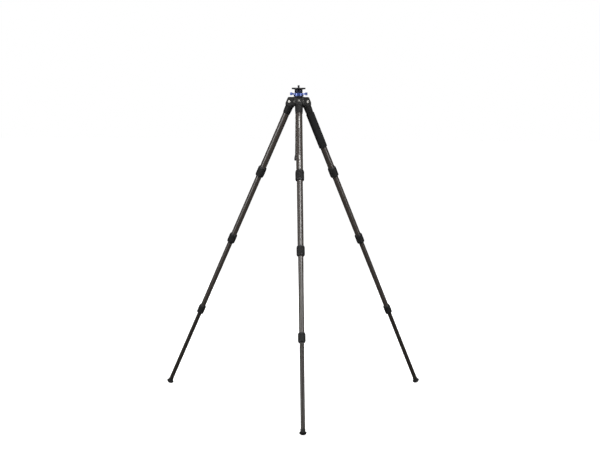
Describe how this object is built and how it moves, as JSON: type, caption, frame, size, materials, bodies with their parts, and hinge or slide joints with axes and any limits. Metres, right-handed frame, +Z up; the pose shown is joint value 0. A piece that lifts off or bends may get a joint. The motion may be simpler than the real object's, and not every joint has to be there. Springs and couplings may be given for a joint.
{
  "type": "camera tripod",
  "caption": "Folding photographic tripod: telescoping carbon legs with twist locks, splayed from an apex casting, and a centre column with a round head plate.",
  "frame": {"origin": "centre of the top plate's upper face, at the root of the head screw", "axes": "+Z up along the column and the head screw; the front leg points towards -Y, +X is to the right of someone who faces the front leg"},
  "size_m": [1.2162, 1.0576, 1.429],
  "materials": {
    "casting": "matte",
    "silver": "satin",
    "plastic_black": "matte",
    "anodised_blue": "satin",
    "column_carbon": "satin",
    "anodised_navy": "satin",
    "plate_black": "satin",
    "screw_steel": "satin",
    "hook_steel": "satin",
    "rubber_foot": "matte",
    "carbon": "satin",
    "carbon_lower": "satin",
    "lock_black": "matte",
    "lock_rubber": "matte",
    "shim_nylon": "matte",
    "foam": "matte"
  },
  "bodies": {
    "apex": {"apex_casting": "casting", "column_collet": "plastic_black", "pivot_bolts": "silver"},
    "column_ring": {"column_lock_ring": "anodised_blue"},
    "column": {"column_tube": "column_carbon", "column_collar": "anodised_navy", "top_plate": "plate_black", "head_stud": "screw_steel", "plate_screws": "screw_steel", "column_end_cap": "plastic_black"},
    "hook": {"weight_hook": "hook_steel"},
    "front_leg": {"front_leg_casting": "casting", "front_tube_1": "carbon"},
    "front_tab": {"front_angle_tab": "silver"},
    "front_lock_1": {"front_lock_ring_1": "lock_black", "front_lock_grip_1": "lock_rubber"},
    "front_section_2": {"front_tube_2": "carbon_lower", "front_shims_1": "shim_nylon"},
    "front_lock_2": {"front_lock_ring_2": "lock_black", "front_lock_grip_2": "lock_rubber"},
    "front_section_3": {"front_tube_3": "carbon_lower", "front_shims_2": "shim_nylon"},
    "front_lock_3": {"front_lock_ring_3": "lock_black", "front_lock_grip_3": "lock_rubber"},
    "front_section_4": {"front_tube_4": "carbon_lower", "front_shims_3": "shim_nylon", "front_foot": "rubber_foot"},
    "right_leg": {"right_leg_casting": "casting", "right_tube_1": "carbon", "foam_grip": "foam"},
    "right_tab": {"right_angle_tab": "silver"},
    "right_lock_1": {"right_lock_ring_1": "lock_black", "right_lock_grip_1": "lock_rubber"},
    "right_section_2": {"right_tube_2": "carbon_lower", "right_shims_1": "shim_nylon"},
    "right_lock_2": {"right_lock_ring_2": "lock_black", "right_lock_grip_2": "lock_rubber"},
    "right_section_3": {"right_tube_3": "carbon_lower", "right_shims_2": "shim_nylon"},
    "right_lock_3": {"right_lock_ring_3": "lock_black", "right_lock_grip_3": "lock_rubber"},
    "right_section_4": {"right_tube_4": "carbon_lower", "right_shims_3": "shim_nylon", "right_foot": "rubber_foot"},
    "left_leg": {"left_leg_casting": "casting", "left_tube_1": "carbon"},
    "left_tab": {"left_angle_tab": "silver"},
    "left_lock_1": {"left_lock_ring_1": "lock_black", "left_lock_grip_1": "lock_rubber"},
    "left_section_2": {"left_tube_2": "carbon_lower", "left_shims_1": "shim_nylon"},
    "left_lock_2": {"left_lock_ring_2": "lock_black", "left_lock_grip_2": "lock_rubber"},
    "left_section_3": {"left_tube_3": "carbon_lower", "left_shims_2": "shim_nylon"},
    "left_lock_3": {"left_lock_ring_3": "lock_black", "left_lock_grip_3": "lock_rubber"},
    "left_section_4": {"left_tube_4": "carbon_lower", "left_shims_3": "shim_nylon", "left_foot": "rubber_foot"}
  },
  "joints": [
    {"name": "column_lock_turn", "type": "hinge", "parent": "apex", "child": "column_ring", "pos_m": [0, 0, -0.029], "axis": [0, 0, 1], "range_deg": [0, 110]},
    {"name": "column_lift", "type": "slide", "parent": "apex", "child": "column", "axis": [0, 0, 1], "range_m": [0, 0.218]},
    {"name": "hook_pull", "type": "slide", "parent": "column", "child": "hook", "axis": [0, 0, -1], "range_m": [0, 0.024], "stiffness_N_per_m": 150, "springref_m": -0.006},
    {"name": "front_leg_fold", "type": "hinge", "parent": "apex", "child": "front_leg", "pos_m": [0, -0.036, -0.062], "axis": [-1, 0, 0], "range_deg": [-25.5, 54]},
    {"name": "front_angle_tab_pull", "type": "slide", "parent": "front_leg", "child": "front_tab", "axis": [0, -1, 0], "range_m": [0, 0.006], "stiffness_N_per_m": 300, "springref_m": -0.008},
    {"name": "front_twist_lock_1", "type": "hinge", "parent": "front_leg", "child": "front_lock_1", "pos_m": [0, -0.19061, -0.38268], "axis": [0, -0.4343, -0.9008], "range_deg": [0, 150]},
    {"name": "front_section_slide_2", "type": "slide", "parent": "front_leg", "child": "front_section_2", "axis": [0, 0.4343, 0.9008], "range_m": [0, 0.301]},
    {"name": "front_twist_lock_2", "type": "hinge", "parent": "front_section_2", "child": "front_lock_2", "pos_m": [0, -0.34217, -0.69705], "axis": [0, -0.4343, -0.9008], "range_deg": [0, 150]},
    {"name": "front_section_slide_3", "type": "slide", "parent": "front_section_2", "child": "front_section_3", "axis": [0, 0.4343, 0.9008], "range_m": [0, 0.3397]},
    {"name": "front_twist_lock_3", "type": "hinge", "parent": "front_section_3", "child": "front_lock_3", "pos_m": [0, -0.50937, -1.04384], "axis": [0, -0.4343, -0.9008], "range_deg": [0, 150]},
    {"name": "front_section_slide_4", "type": "slide", "parent": "front_section_3", "child": "front_section_4", "axis": [0, 0.4343, 0.9008], "range_m": [0, 0.3647]},
    {"name": "right_leg_fold", "type": "hinge", "parent": "apex", "child": "right_leg", "pos_m": [0.03118, 0.018, -0.062], "axis": [0.5, -0.866, 0], "range_deg": [-25.5, 54]},
    {"name": "right_angle_tab_pull", "type": "slide", "parent": "right_leg", "child": "right_tab", "axis": [0.866, 0.5, 0], "range_m": [0, 0.006], "stiffness_N_per_m": 300, "springref_m": -0.008},
    {"name": "right_twist_lock_1", "type": "hinge", "parent": "right_leg", "child": "right_lock_1", "pos_m": [0.16507, 0.0953, -0.38268], "axis": [0.3761, 0.2171, -0.9008], "range_deg": [0, 150]},
    {"name": "right_section_slide_2", "type": "slide", "parent": "right_leg", "child": "right_section_2", "axis": [-0.3761, -0.2171, 0.9008], "range_m": [0, 0.301]},
    {"name": "right_twist_lock_2", "type": "hinge", "parent": "right_section_2", "child": "right_lock_2", "pos_m": [0.29633, 0.17109, -0.69705], "axis": [0.3761, 0.2171, -0.9008], "range_deg": [0, 150]},
    {"name": "right_section_slide_3", "type": "slide", "parent": "right_section_2", "child": "right_section_3", "axis": [-0.3761, -0.2171, 0.9008], "range_m": [0, 0.3397]},
    {"name": "right_twist_lock_3", "type": "hinge", "parent": "right_section_3", "child": "right_lock_3", "pos_m": [0.44113, 0.25469, -1.04384], "axis": [0.3761, 0.2171, -0.9008], "range_deg": [0, 150]},
    {"name": "right_section_slide_4", "type": "slide", "parent": "right_section_3", "child": "right_section_4", "axis": [-0.3761, -0.2171, 0.9008], "range_m": [0, 0.3647]},
    {"name": "left_leg_fold", "type": "hinge", "parent": "apex", "child": "left_leg", "pos_m": [-0.03118, 0.018, -0.062], "axis": [0.5, 0.866, 0], "range_deg": [-25.5, 54]},
    {"name": "left_angle_tab_pull", "type": "slide", "parent": "left_leg", "child": "left_tab", "axis": [-0.866, 0.5, 0], "range_m": [0, 0.006], "stiffness_N_per_m": 300, "springref_m": -0.008},
    {"name": "left_twist_lock_1", "type": "hinge", "parent": "left_leg", "child": "left_lock_1", "pos_m": [-0.16507, 0.0953, -0.38268], "axis": [-0.3761, 0.2171, -0.9008], "range_deg": [0, 150]},
    {"name": "left_section_slide_2", "type": "slide", "parent": "left_leg", "child": "left_section_2", "axis": [0.3761, -0.2171, 0.9008], "range_m": [0, 0.301]},
    {"name": "left_twist_lock_2", "type": "hinge", "parent": "left_section_2", "child": "left_lock_2", "pos_m": [-0.29633, 0.17109, -0.69705], "axis": [-0.3761, 0.2171, -0.9008], "range_deg": [0, 150]},
    {"name": "left_section_slide_3", "type": "slide", "parent": "left_section_2", "child": "left_section_3", "axis": [0.3761, -0.2171, 0.9008], "range_m": [0, 0.3397]},
    {"name": "left_twist_lock_3", "type": "hinge", "parent": "left_section_3", "child": "left_lock_3", "pos_m": [-0.44113, 0.25469, -1.04384], "axis": [-0.3761, 0.2171, -0.9008], "range_deg": [0, 150]},
    {"name": "left_section_slide_4", "type": "slide", "parent": "left_section_3", "child": "left_section_4", "axis": [0.3761, -0.2171, 0.9008], "range_m": [0, 0.3647]}
  ]
}
